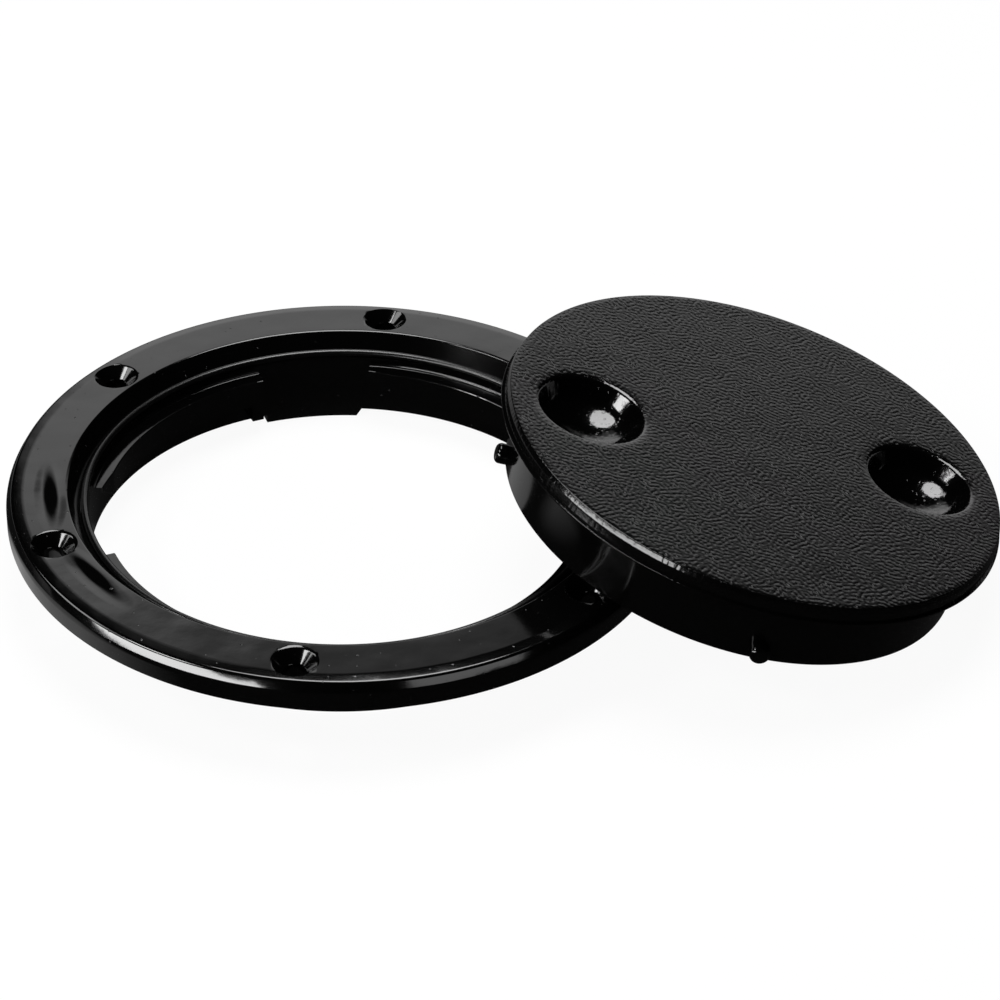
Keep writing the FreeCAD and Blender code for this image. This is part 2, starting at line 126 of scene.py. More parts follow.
class RingSizes(bpy.types.PropertyGroup):
    """Sizes of the mounting ring and its seal."""
    flange: length("Flange", "Outside radius of the flange", 0.0715)
    crown: length("Crown", "Flange top above the deck, at its inner edge", 0.0068)
    fall: length("Fall", "How far the flange top falls from there to its brow", 0.0002)
    brow: length("Brow", "Radius at which the flange top starts to slope", 0.0679)
    brow_round: length("Brow rounding", "Rounding of the brow", 0.0004)
    shoulder: length("Shoulder", "Radius at which its bevelled edge starts", 0.0703)
    shoulder_level: length("Shoulder level", "Height of the start of that edge", 0.0063)
    shoulder_round: length("Shoulder rounding", "Rounding of the shoulder", 0.0005)
    edge_level: length("Edge level", "Height of the foot of that edge", 0.0041)
    edge_round: length("Edge rounding", "Rounding of that foot", 0.0006)
    foot_round: length("Foot rounding", "Rounding of the flange's lower edge", 0.0004)
    mouth: length("Mouth", "Inner edge of the flange top", 0.05865)
    mouth_round: length("Mouth rounding", "Rounding of that edge", 0.00035)
    seat: length("Seat", "Outside of the flat seat for the seal", 0.0559)
    seat_level: length("Seat level", "Seat above the deck", 0.0023)
    seat_wall: length("Seat wall", "Upright wall round the seat", 0.0008)
    bore: length("Bore", "Inside of the collar", 0.0544)
    collar: length("Collar", "Outside of the collar", 0.0570)
    depth: length("Depth", "Collar below the deck", 0.0116)
    tab_drop: length("Tab drop", "Tab below the collar", 0.00195)
    tab_from: turn("Tab from", "Slanted side of the tab", 88.5)
    tab_to: turn("Tab to", "Upright side of the tab", 111.5)
    tab_slant: length("Tab slant", "Slant of that side", 0.0012)
    hollow_inner: length("Hollow inside", "Inside of the hollow under the flange", 0.0602)
    hollow_outer: length("Hollow outside", "Outside of that hollow", 0.0686)
    hollow_top: length("Hollow top", "Top of that hollow", 0.0039)
    rib: length("Rib", "Width of a rib across the hollow", 0.0016)
    boss: length("Boss", "Radius of the boss round a screw hole", 0.0056)
    holes: count("Holes", "Screw holes", 6)
    hole_from: turn("First hole", "Direction of the first screw hole", 24.4)
    hole_circle: length("Hole circle", "Radius of the circle of holes", 0.06455)
    hole: length("Hole", "Radius of a screw hole", 0.0023)
    sink: length("Countersink", "Radius of a countersink at the flange top", 0.0046)
    lugs: count("Lugs", "Locking lugs", 4)
    lug: length("Lug", "Inside radius of the lugs", 0.0510)
    lug_top: length("Lug top", "Top of a lug", 0.00025)
    lug_back: length("Lug back", "How far its inner face is drawn back at its entry", 0.0010)
    lug_round: length("Lug rounding", "Rounding of that face's edges", 0.00025)
    lug_fillet: length("Lug fillet", "Fillet from the wall to the top of a lug", 0.0007)
    lug_from: turn("Lug from", "Stop end of the first lug", 23.5)
    lug_to: turn("Lug to", "Entry end of the first lug", 86.5)
    lug_low: length("Lug foot", "Underside of a lug at its entry", -0.00545)
    lug_rise: length("Lug rise", "How much deeper it is at its stop", 0.0008)
    lead: length("Lead", "Length of a lug's steep entry", 0.0066)
    lead_left: length("Lead end", "Height of a lug's end above its entry", 0.0012)
    stop_low: length("Stop foot", "Underside of a lug's stop", -0.0102)
    stop_to: turn("Stop to", "Far side of the first lug's stop", 26.5)
    seal: length("Seal", "Radius of the seal's section", 0.0008)
    seal_gap: length("Seal gap", "Seal to its seat and wall", 0.00005)


class LidSizes(bpy.types.PropertyGroup):
    """Sizes of the lid and its leaning pose."""
    rim: length("Rim", "Outside radius of the rim, at its lip", 0.0556)
    rim_depth: length("Rim depth", "Thickness of the rim", 0.0038)
    top: length("Top", "Radius at which the rim's bevelled edge starts", 0.0545)
    rim_edge: length("Rim edge", "Radius of the foot of that edge", 0.0549)
    rim_side: length("Rim side", "Radius of the rim's side, just above its lip", 0.0550)
    rim_bevel: length("Rim bevel", "Foot of the bevelled edge below the top", 0.0012)
    rim_round: length("Rim rounding", "Rounding of the rim's corners", 0.0002)
    lip: length("Lip", "Height of the thin lip at the rim's foot", 0.0005)
    lip_round: length("Lip rounding", "Rounding of the lip's upper edge", 0.0001)
    plate: length("Plate", "Thickness of the lid's top", 0.0028)
    skirt: length("Skirt", "Outside radius of the skirt", 0.0504)
    skirt_wall: length("Skirt wall", "Thickness of the skirt", 0.0024)
    skirt_depth: length("Skirt depth", "Foot of the skirt below the top", 0.0186)
    skirt_round: length("Skirt rounding", "Rounding at the skirt's root and foot", 0.0004)
    inner_round: length("Inner rounding", "Rounding of the foot's inner edge", 0.0002)
    pegs: count("Pegs", "Locking pegs", 4)
    peg: length("Peg", "Radius of a locking peg", 0.0022)
    peg_end: length("Peg end", "End of a peg from the lid's axis", 0.0533)
    peg_round: length("Peg rounding", "Rounding of a peg's end", 0.0011)
    peg_level: length("Peg level", "Middle of a peg below the top", -0.01590)
    dimple_at: length("Dimple at", "Finger dimple from the lid's axis", 0.0368)
    dimple: length("Dimple", "Mouth radius of a dimple before rounding", 0.0117)
    dimple_round: length("Dimple rounding", "Rounding of a dimple's mouth", 0.0014)
    dimple_lip: length("Dimple lip", "Width of the gentle slope round the mouth", 0.0018)
    dimple_fall: length("Dimple fall", "Fall of that slope", 0.00013)
    dimple_edge: length("Dimple edge", "Radius of a dimple part way down its wall", 0.0092)
    dimple_wall: length("Dimple wall", "Depth at that radius", 0.0040)
    dimple_depth: length("Dimple depth", "Depth of the bowl", 0.0072)
    dimple_bowl: length("Dimple bowl", "Radius of the bowl's hollow", 0.0148)
    dimple_ease: length("Dimple ease", "Fillet between bowl and wall", 0.0060)
    cup: length("Cup", "Wall round a dimple under the lid", 0.0022)
    cup_flat: length("Cup flat", "Radius of the flat under a cup", 0.0060)
    cup_round: length("Cup rounding", "Rounding of that flat's edge", 0.0020)
    web: length("Web", "Width of the webs under the lid", 0.0018)
    web_depth: length("Web depth", "Foot of the webs below the top", 0.0068)
    lean: turn("Lean", "Tilt of the leaning lid", 15.0931)
    lean_to: turn("Lean to", "Direction in which it leans", 0.6)
    turned: turn("Turned", "Turn of the lid about its axis after that", 3.0)
    middle: place("Middle", "Middle of the lid's top", (0.087938, 0.000921, 0.017487))


class Finishes(bpy.types.PropertyGroup):
    """Colours, gloss and grain of the plastics and the rubber."""
    ring_colour: colour("Ring", "Black of the ring's plastic", (0.0006, 0.0006, 0.0006))
    ring_rough: amount("Polish roughness", "Roughness of polished plastic", 0.10)
    ring_shine: amount("Ring shine", "Specular level of the ring", 0.5)
    ring_wave: length("Ring waves", "Height of the slow waves of the ring's skin", 0.00020)
    ripple: length("Ripple", "Height of the fine ripple on them", 0.000012)
    speck: length("Specks", "Height of the specks in polished plastic", 0.00004)
    speck_rough: amount("Speck roughness", "How much rougher a speck is", 0.25)
    haze: amount("Haze", "How far the ring's roughness varies", 0.05)
    dent: length("Dent", "Height of the warped patches of the flange", 0.00055)
    lid_colour: colour("Lid", "Black of the lid's plastic", (0.0007, 0.0007, 0.0007))
    lid_rough: amount("Lid roughness", "Roughness of the grained top", 0.22)
    lid_shine: amount("Lid shine", "Specular level of the lid", 0.33)
    lid_wave: length("Lid waves", "Height of the slow waves of the lid's skin", 0.00014)
    grain: length("Grain", "Width of one ridge of the grain", 0.00125)
    grain_depth: length("Grain depth", "Height of the grain's ridges", 0.00012)
    coat: amount("Dimple coat", "Weight of the coat in the dimples", 0.45)
    coat_rough: amount("Coat roughness", "Roughness of that coat", 0.09)
    seal_colour: colour("Seal", "Black of the rubber", (0.0007, 0.0007, 0.0007))
    seal_rough: amount("Seal roughness", "Least roughness of the rubber", 0.22)
    seal_haze: amount("Seal haze", "How far its roughness varies", 0.08)
    seal_skin: length("Seal skin", "Height of the rubber's fine skin", 0.00001)


class Studio(bpy.types.PropertyGroup):
    """Floor, lamps and camera."""
    floor: colour("Floor", "Colour of the floor", (0.86, 0.86, 0.86))
    floor_level: length("Floor level", "Floor below the deck plane", -0.0137)
    floor_glow: amount("Floor glow", "Share of the floor that is plain white", 0.94)
    sky: amount("Sky", "Strength of the world", 0.15)
    dim: amount("Dim", "What reflections see of the floor in front", 0.02)
    backdrop: amount("Backdrop", "Brightness of the backdrop in reflections", 1.6)
    overhead: amount("Overhead lamp", "Brightness of the lamp above", 8.0)
    left: amount("Left lamps", "Brightness of the lamps at the left", 13.5)
    side: amount("Side lamp", "Brightness of the lamp beside the plate", 4.0)
    right: amount("Right lamp", "Brightness of the lamp at the right", 1.6)
    card: amount("Card", "Brightness of the low card inside the ring", 0.48)
    lens: amount("Lens", "Focal length in millimetres, on a sensor 36 mm wide", 125.66)
    pitch: turn("Pitch", "How far the camera looks down", 35.076476)
    roll: turn("Roll", "Turn of the camera about its line of sight", -1.4323945)
    eye: place("Eye", "Place of the camera", (0.03366, -0.61211, 0.43176))


# Mesh work

def around(angle, radius, level):
    """A point at an angle round Z."""
    return Vector((radius * cos(angle), radius * sin(angle), level))


def lathed(points, steps, start=0.0):
    """A skin turned about Z from the points of a section, each a radius and a level."""
    skin = bmesh.new()
    corners = [skin.verts.new(around(start, *point)) for point in points]
    sides = [skin.edges.new((corners[i - 1], corners[i])) for i in range(len(corners))
             if points[i - 1][0] > 0.0 or points[i][0] > 0.0]
    bmesh.ops.spin(skin, geom=corners + sides, cent=(0, 0, 0), axis=(0, 0, 1),
                   dvec=(0, 0, 0), angle=2 * pi, steps=steps, use_merge=True)
    bmesh.ops.remove_doubles(skin, verts=skin.verts, dist=MERGE)
    bmesh.ops.recalc_face_normals(skin, faces=skin.faces)
    return skin


def sharp(edge, least=30.0):
    """Whether two faces meet at an edge by more than least degrees."""
    return edge.is_manifold and degrees(edge.calc_face_angle(0.0)) > least


def circle(skin, radius, level):
    """The edges of one of a lathed skin's circles."""
    def on(vert):
        return hypot(hypot(vert.co.x, vert.co.y) - radius, vert.co.z - level) < NEAR
    return [edge for edge in skin.edges if on(edge.verts[0]) and on(edge.verts[1])]


def rounded(skin, edges, width, segments):
    """Rounds edges of a skin."""
    bmesh.ops.bevel(skin, geom=edges, offset=width, offset_type="OFFSET", segments=segments,
                    profile=0.5, affect="EDGES", material=-1, clamp_overlap=False)


def rounded_circles(skin, rows):
    """Rounds circles of a lathed skin, each a radius, a level, a width and its segments."""
    for radius, level, width, segments in rows:
        rounded(skin, circle(skin, radius, level), width, segments)


def extruded(skin, faces):
    """Extrudes faces of a skin, and gives the new points."""
    made = bmesh.ops.extrude_face_region(skin, geom=faces)
    return [item for item in made["geom"] if isinstance(item, bmesh.types.BMVert)]


def pulled_out(skin, faces):
    """Extrudes faces out of a closed skin, and gives the points to move."""
    points = extruded(skin, faces)
    bmesh.ops.delete(skin, geom=[face for face in faces if face.is_valid], context="FACES")
    return points


def piece(name, skin):
    """An object of its own from a skin."""
    mesh = bpy.data.meshes.new(name)
    skin.to_mesh(mesh)
    skin.free()
    thing = bpy.data.objects.new(name, mesh)
    bpy.context.scene.collection.objects.link(thing)
    return thing


def repeated(name, make, poses):
    """An object that has a skin, made afresh, at each of several poses."""
    whole = bmesh.new()
    for pose in poses:
        skin = make()
        skin.transform(pose)
        part = bpy.data.meshes.new(name)
        skin.to_mesh(part)
        skin.free()
        whole.from_mesh(part)
        bpy.data.meshes.remove(part)
    return piece(name, whole)


def settle(thing):
    """Makes what a piece's modifiers give its own mesh."""
    seen = thing.evaluated_get(bpy.context.evaluated_depsgraph_get())
    mesh = bpy.data.meshes.new_from_object(seen)
    thing.modifiers.clear()
    thing.data = mesh


def joined(thing, tools):
    """Joins or cuts tools into a piece, each given with its operation."""
    for operation, tool in tools:
        step = thing.modifiers.new(operation, "BOOLEAN")
        step.operation = operation
        step.solver = "EXACT"
        step.object = tool
    settle(thing)
    for _, tool in tools:
        bpy.data.objects.remove(tool)


def smoothed(thing, least=28.0):
    """Smooth shading that follows the large faces, with edges above least degrees kept."""
    mesh = thing.data
    mesh.shade_smooth()
    mesh.set_sharp_from_angle(angle=radians(least))
    step = thing.modifiers.new("even shading", "WEIGHTED_NORMAL")
    step.keep_sharp = True
    step.weight = 80
    settle(thing)


def finished(thing, node, material):
    """Gives a piece its material and its place in the frame."""
    thing.data.materials.clear()
    thing.data.materials.append(material)
    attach(thing, "root")
    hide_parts(node)


# Ring

def ring_skin(s):
    """Flange, mouth, seat, collar and the hollow under the flange."""
    steps = 4
    top = [(s.brow - (s.brow - s.mouth) * i / steps, s.crown - s.fall * (1 - i / steps))
           for i in range(steps)]
    # A face to each degree, from half a degree, where the lugs and the tab end
    return lathed([
        (s.flange, 0.0), (s.flange, s.edge_level), (s.shoulder, s.shoulder_level),
        *top, (s.mouth, s.crown),
        (s.seat, s.seat_level + s.seat_wall), (s.seat, s.seat_level),
        (s.bore, s.seat_level), (s.bore, s.lug_top), (s.bore, s.lug_low),
        (s.bore, s.stop_low),
        (s.bore, -s.depth), (s.collar, -s.depth), (s.collar, 0.0),
        (s.hollow_inner, 0.0), (s.hollow_inner, s.hollow_top),
        (s.hollow_outer, s.hollow_top), (s.hollow_outer, 0.0),
    ], FULL_SIDES, radians(0.5))


def bearing(point):
    """The direction of a point from the axis, from 0 to 360 degrees."""
    return degrees(atan2(point.y, point.x)) % 360


def within(angle, start, end, times):
    """Whether an angle in degrees lies in a span that repeats so many times round the ring."""
    span = 360 / times
    return (angle - degrees(start)) % span < degrees(end - start)


def lug_faces(skin, s):
    """The faces of the collar's wall that become the lugs and their stops."""
    chosen = []
    for face in skin.faces:
        middle = face.calc_center_median()
        angle = bearing(middle)
        low = s.stop_low if within(angle, s.lug_from, s.stop_to, s.lugs) else s.lug_low
        on_wall = abs(hypot(middle.x, middle.y) - s.bore) < NEAR
        if (on_wall and low < middle.z < s.lug_top
                and within(angle, s.lug_from, s.lug_to, s.lugs)):
            chosen.append(face)
    return chosen


def add_lugs(skin, s):
    """Pulls the locking lugs out of the collar's wall, and slopes their undersides."""
    whole = degrees(s.lug_to - s.lug_from)
    steep = degrees(s.lead / s.bore)

    def along(vert):
        """Degrees from the stop end of a lug."""
        return (bearing(vert.co) - degrees(s.lug_from) + SLACK) % (360 / s.lugs)

    for vert in pulled_out(skin, lug_faces(skin, s)):
        left = max(whole - along(vert), 0.0)
        share = (s.lug + s.lug_back * max(0.0, 1.0 - left / steep)) / s.bore
        vert.co.x *= share
        vert.co.y *= share

    for vert in skin.verts:
        radius = hypot(vert.co.x, vert.co.y)
        if abs(vert.co.z - s.lug_low) > NEAR or radius > s.bore + NEAR:
            continue
        if along(vert) > whole + 2 * SLACK:
            continue
        left = max(whole - along(vert), 0.0)
        level = s.lug_low - s.lug_rise * (1 - along(vert) / whole)
        if left < steep:
            end = s.lug_top - s.lead_left
            level = end + (level - end) * left / steep
        vert.co.z = level


def add_tab(skin, s):
    """Pulls the tab out of the collar's lower edge, and slants one of its sides."""
    def on_tab(face):
        middle = face.calc_center_median()
        return abs(middle.z + s.depth) < NEAR and within(bearing(middle), s.tab_from, s.tab_to, 1)
    pulled = pulled_out(skin, [face for face in skin.faces if on_tab(face)])
    bmesh.ops.translate(skin, vec=(0.0, 0.0, -s.tab_drop), verts=pulled)
    for vert in pulled:
        share = (s.tab_to - radians(bearing(vert.co))) / (s.tab_to - s.tab_from)
        vert.co.rotate(Euler((0.0, 0.0, share * s.tab_slant / s.bore)))


def hole_angle(s, i):
    """The direction of a screw hole."""
    return s.hole_from + 2 * pi * i / s.holes


def boss_tool(s):
    """Bosses and ribs for the hollow under the flange."""
    foot, root = 0.00005, 0.0012
    low, high = foot, s.hollow_top + root
    level, height = (low + high) / 2, high - low
    middle = (s.hollow_inner + s.hollow_outer) / 2
    rib = (s.hollow_outer - s.hollow_inner + PAST, s.rib, height, 1.0)
    skin = bmesh.new()
    for i in range(s.holes):
        angle = hole_angle(s, i)
        pose = Matrix.Translation(around(angle, s.hole_circle, level))
        bmesh.ops.create_cone(skin, cap_ends=True, segments=PEG_SIDES, radius1=s.boss,
                              radius2=s.boss, depth=height, matrix=pose)
        angle += pi / s.holes
        pose = (Matrix.Translation(around(angle, middle, level))
                @ Matrix.Rotation(angle, 4, "Z") @ Matrix.Diagonal(rib))
        bmesh.ops.create_cube(skin, size=1.0, matrix=pose)
    return piece("bosses", skin)


def sink_tool(s):
    """Cutters for the screw holes, each with a countersink that flares at its mouth."""
    level = s.crown - s.fall * (s.hole_circle - s.mouth) / (s.brow - s.mouth)
    foot = level - (s.sink - s.hole)
    below = -PAST / 2
    section = [(0.0, level + PAST), (s.sink + FLARE[0][0], level + PAST)]
    section += [(s.sink + out, level + up) for out, up in FLARE]
    section += [(s.hole + out, foot + up) for out, up in NECK]
    section += [(s.hole, below), (0.0, below)]
    return repeated("sinks", lambda: lathed(section, HOLE_SIDES), [
        Matrix.Translation(around(hole_angle(s, i), s.hole_circle, 0.0))
        for i in range(s.holes)])


class PLATE_OT_ring(bpy.types.Operator):
    """Builds the mounting ring with its lugs, tab, bosses and screw holes"""
    bl_idname = "plate.ring"
    bl_label = "Mounting ring"

    def execute(self, context):
        s = context.scene.plate_ring
        skin = ring_skin(s)
        add_lugs(skin, s)
        add_tab(skin, s)
        bmesh.ops.recalc_face_normals(skin, faces=skin.faces)
        rounded_circles(skin, [
            (s.brow, s.crown - s.fall, s.brow_round, 3),
            (s.shoulder, s.shoulder_level, s.shoulder_round, 4),
            (s.flange, s.edge_level, s.edge_round, 4),
            (s.mouth, s.crown, s.mouth_round, 4),
            (s.flange, 0.0, s.foot_round, 3),
        ])
        inner = [edge for edge in skin.edges if sharp(edge) and all(
            hypot(vert.co.x, vert.co.y) < s.lug + s.lug_back + NEAR for vert in edge.verts)]
        rounded(skin, inner, s.lug_round, 3)
        wall = [edge for edge in circle(skin, s.bore, s.lug_top) if sharp(edge)]
        rounded(skin, wall, s.lug_fillet, 5)
        ring = piece("mounting_ring", skin)
        joined(ring, [("UNION", boss_tool(s)), ("DIFFERENCE", sink_tool(s))])
        smoothed(ring)
        finished(ring, "deck_ring", polished_plastic(context.scene.plate_finish))
        return {"FINISHED"}


class PLATE_OT_seal(bpy.types.Operator):
    """Builds the rubber ring on its seat"""
    bl_idname = "plate.seal"
    bl_label = "Seal"

    def execute(self, context):
        s = context.scene.plate_ring
        radius = s.seat - s.seal_gap - s.seal
        level = s.seat_level + s.seal_gap + s.seal
        section = [(radius + s.seal * cos(radians(a)), level + s.seal * sin(radians(a)))
                   for a in range(0, 360, 15)]
        seal = piece("seal", lathed(section, FULL_SIDES))
        smoothed(seal, 60)
        finished(seal, "seal_ring", rubber(context.scene.plate_finish))
        return {"FINISHED"}


# Lid

def lid_pose(s):
    """Where the lid leans: from its own axis and the middle of its top to the ring's frame."""
    return (Matrix.Translation(s.middle) @ Matrix.Rotation(s.lean_to, 4, "Z")
            @ Matrix.Rotation(s.lean, 4, "Y") @ Matrix.Rotation(s.turned, 4, "Z"))


def dimple_poses(s):
    """The places of the two dimples."""
    return [Matrix.Translation((side * s.dimple_at, 0.0, 0.0)) for side in (-1, 1)]


def webs_tool(s):
    """Crossed webs under the lid."""
    half, reach = s.web / 2, s.skirt - s.skirt_wall / 2
    corners = [(reach, half), (half, half), (half, reach)]
    for _ in range(3):
        corners += [(-y, x) for x, y in corners[-3:]]
    tool = bmesh.new()
    face = tool.faces.new([tool.verts.new((x, y, -s.web_depth)) for x, y in corners])
    bmesh.ops.translate(tool, vec=(0.0, 0.0, s.web_depth - s.plate / 2),
                        verts=extruded(tool, [face]))
    bmesh.ops.recalc_face_normals(tool, faces=tool.faces)
    return piece("webs", tool)


def cups_tool(s):
    """Undersides of the dimples."""
    brim, foot, flare = s.dimple_edge + s.cup, -s.dimple_depth - s.cup, 0.001

    def cup():
        skin = lathed([
            (0.0, -s.plate / 2), (0.0, foot), (s.cup_flat, foot),
            (brim, -s.dimple_wall - s.cup / 2), (brim + flare, -s.plate / 2),
        ], HOLE_SIDES)
        rounded(skin, circle(skin, s.cup_flat, foot), s.cup_round, 6)
        return skin
    return repeated("cups", cup, dimple_poses(s))


def pegs_tool(s):
    """Locking pegs round the skirt's foot."""
    root = s.skirt - s.skirt_wall / 2

    def peg():
        skin = lathed([(0.0, root), (s.peg, root), (s.peg, s.peg_end), (0.0, s.peg_end)],
                      PEG_SIDES)
        rounded(skin, circle(skin, s.peg, s.peg_end), s.peg_round, 8)
        return skin
    return repeated("pegs", peg, [
        Matrix.Rotation(2 * pi / s.pegs * i, 4, "Z")
        @ Matrix.Translation((0.0, 0.0, s.peg_level)) @ Matrix.Rotation(pi / 2, 4, "Y")
        for i in range(s.pegs)])


def dimple_section(s):
    """Half a finger dimple: shallow bowl, fillet, steep wall, rounded mouth and gentle lip."""
    bowl_steps, ease_steps, mouth_steps = 10, 8, 8
    slope = atan(s.dimple_wall / (s.dimple - s.dimple_edge))
    shoulder = s.dimple_round * tan(slope / 2)
    ease, bowl = s.dimple_ease, s.dimple_bowl
    floor = bowl - s.dimple_depth

    # The fillet's middle is found by halving: it lies one radius from the wall
    low, high = 0.0, s.dimple_edge
    for _ in range(40):
        middle = (low + high) / 2
        level = floor - ((bowl - ease) ** 2 - middle ** 2) ** 0.5
        wall = (s.dimple - middle) * sin(slope) + level * cos(slope)
        low, high = (middle, high) if wall > ease else (low, middle)
    start = asin(low / (bowl - ease))

    points = []
    for i in range(bowl_steps + 1):
        lean = start * i / bowl_steps
        points.append((bowl * sin(lean), floor - bowl * cos(lean)))
    for i in range(1, ease_steps + 1):
        lean = start + (slope - start) * i / ease_steps
        points.append((low + ease * sin(lean), level - ease * cos(lean)))
    for i in range(mouth_steps + 1):
        lean = slope * (1 - i / mouth_steps)
        points.append((s.dimple + shoulder - s.dimple_round * sin(lean),
                       -s.dimple_fall - s.dimple_round * (1 - cos(lean))))
    brim = s.dimple + shoulder + s.dimple_lip
    return [*points, (brim, NEAR), (brim, PAST), (0.0, PAST)]


def dimple_tool(s):
    """Cutters for the finger dimples."""
    section = dimple_section(s)
    return repeated("dimples", lambda: lathed(section, DIMPLE_SIDES), dimple_poses(s))


class PLATE_OT_lid(bpy.types.Operator):
    """Builds the leaning lid with its dimples, skirt and pegs"""
    bl_idname = "plate.lid"
    bl_label = "Lid"

    def execute(self, context):
        s = context.scene.plate_lid
        inside = s.skirt - s.skirt_wall
        skin = lathed([
            (0.0, 0.0), (s.top, 0.0), (s.rim_edge, -s.rim_bevel),
            (s.rim_side, 2 * s.lip - s.rim_depth), (s.rim, s.lip - s.rim_depth),
            (s.rim, -s.rim_depth), (s.skirt, -s.rim_depth),
            (s.skirt, -s.skirt_depth), (inside, -s.skirt_depth), (inside, -s.plate),
            (0.0, -s.plate),
        ], FULL_SIDES)
        rounded_circles(skin, [
            (s.top, 0.0, s.rim_round, 3),
            (s.rim_edge, -s.rim_bevel, s.rim_round, 3),
            (s.rim, s.lip - s.rim_depth, s.lip_round, 3),
            (s.rim, -s.rim_depth, s.rim_round, 3),
            (s.skirt, -s.rim_depth, s.skirt_round, 3),
            (s.skirt, -s.skirt_depth, s.skirt_round, 3),
            (inside, -s.skirt_depth, s.inner_round, 2),
        ])
        lid = piece("twist_lid", skin)
        joined(lid, [("UNION", webs_tool(s)), ("UNION", cups_tool(s)),
                     ("UNION", pegs_tool(s)), ("DIFFERENCE", dimple_tool(s))])
        smoothed(lid)
        lid.data.transform(lid_pose(s))
        finished(lid, "lid",
                 grained_plastic(context.scene.plate_finish, s))
        return {"FINISHED"}


# Materials

class Signal:
    """A node socket on which arithmetic adds Math nodes."""

    def __init__(self, tree, socket):
        self.tree = tree
        self.socket = socket

    def maths(self, operation, *values):
        node = self.tree.nodes.new("ShaderNodeMath")
        node.operation = operation
        for entry, value in zip(node.inputs, values):
            if isinstance(value, Signal):
                self.tree.links.new(value.socket, entry)
            else:
                entry.default_value = value
        return Signal(self.tree, node.outputs[0])

    def __add__(self, other):
        return self.maths("ADD", self, other)

    def __radd__(self, other):
        return self.maths("ADD", other, self)

    def __sub__(self, other):
        return self.maths("SUBTRACT", self, other)

    def __rsub__(self, other):
        return self.maths("SUBTRACT", other, self)

    def __mul__(self, other):
        return self.maths("MULTIPLY", self, other)

    def __rmul__(self, other):
        return self.maths("MULTIPLY", other, self)

    def __truediv__(self, other):
        return self.maths("DIVIDE", self, other)

    def __pow__(self, other):
        return self.maths("POWER", self, other)

    def __abs__(self):
        return self.maths("ABSOLUTE", self)

    def most(self, other):
        return self.maths("MAXIMUM", self, other)


class Finish:
    """A material, or the world, and the one method that adds a node to it."""

    def __init__(self, holder):
        holder.use_nodes = True
        self.tree = holder.node_tree
        self.tree.nodes.clear()

    def node(self, kind, settings=None, sockets=None, output=0):
        """Adds a node, its settings first, and gives one of its outputs or several."""
        node = self.tree.nodes.new(kind)
        for name, value in (settings or {}).items():
            if name == "stops":
                while len(node.color_ramp.elements) < len(value):
                    node.color_ramp.elements.new(1.0)
                for stop, (where, tone) in zip(node.color_ramp.elements, value):
                    stop.position = where
                    stop.color = (tone, tone, tone, 1.0)
            elif name == "ease":
                node.color_ramp.interpolation = value
            else:
                setattr(node, name, value)
        for name, value in (sockets or {}).items():
            entry = node.inputs[name]
            if isinstance(value, Signal):
                self.tree.links.new(value.socket, entry)
            else:
                entry.default_value = value
        if isinstance(output, tuple):
            return [Signal(self.tree, node.outputs[name]) for name in output]
        return Signal(self.tree, node.outputs[output]) if node.outputs else None

    def ramp(self, value, *stops, ease="EASE"):
        """A value run through a ramp of places from 0 to 1 and their tones."""
        return self.node("ShaderNodeValToRGB", {"ease": ease, "stops": stops}, {0: value})

    def noise(self, where, scale, detail, rough):
        """A noise from 0 to 1."""
        return self.node("ShaderNodeTexNoise", None, {
            "Vector": where, "Scale": scale, "Detail": detail, "Roughness": rough})

    def parts(self, vector):
        """A vector's X, Y and Z."""
        return self.node("ShaderNodeSeparateXYZ", None, {0: vector}, ("X", "Y", "Z"))

    def bump(self, height):
        """The normal of a skin that rises by a height in metres."""
        return self.node("ShaderNodeBump", None, {"Height": height, "Distance": 1.0})

    def rays(self):
        """Whether a ray comes from the camera, from a reflection or through something."""
        return self.node("ShaderNodeLightPath", output=(
            "Is Camera Ray", "Is Glossy Ray", "Is Transmission Ray"))


def plastic(board, sockets):
    """The surface of a material, from a Principled shader's sockets."""
    shader = board.node("ShaderNodeBsdfPrincipled", None, sockets)
    board.node("ShaderNodeOutputMaterial", None, {"Surface": shader})


def dent(board, where, x, y):
    """A warped patch of the flange, long round the ring: its height from -1 to 1."""
    local = board.node("ShaderNodeMapping", {"vector_type": "TEXTURE"}, {
        "Vector": where, "Location": (x, y, 0.0), "Rotation": (0.0, 0.0, atan2(y, x)),
        "Scale": (*DENT_REACH, 1.0)})
    across, along, _ = board.parts(local)
    return board.ramp((across * across + along * along) ** 0.5, (0.30, 1.0), (1.0, 0.0)) * across


def polished_plastic(tones):
    """Black plastic as it comes from a polished mould: faint waves, specks, two patches."""
    material = bpy.data.materials.new("polished_plastic")
    board = Finish(material)
    where = board.node("ShaderNodeTexCoord", output="Object")
    waves = board.noise(where, *RING_WAVES)
    ripple = board.noise(where, *RING_RIPPLE)
    specks = board.ramp(board.noise(where, *RING_SPECKS), (0.745, 0.0), (0.80, 1.0))
    dents = dent(board, where, *DENTS[0]) + dent(board, where, *DENTS[1])
    skin = board.bump(waves * tones.ring_wave + ripple * tones.ripple + specks * tones.speck
                      - dents * tones.dent)
    haze = board.noise(where, *RING_HAZE)
    rough = tones.ring_rough + (haze - 0.5) * tones.haze + specks * tones.speck_rough
    plastic(board, {
        "Base Color": (*tones.ring_colour, 1.0), "Roughness": rough,
        "Specular IOR Level": tones.ring_shine, "Normal": skin})
    return material


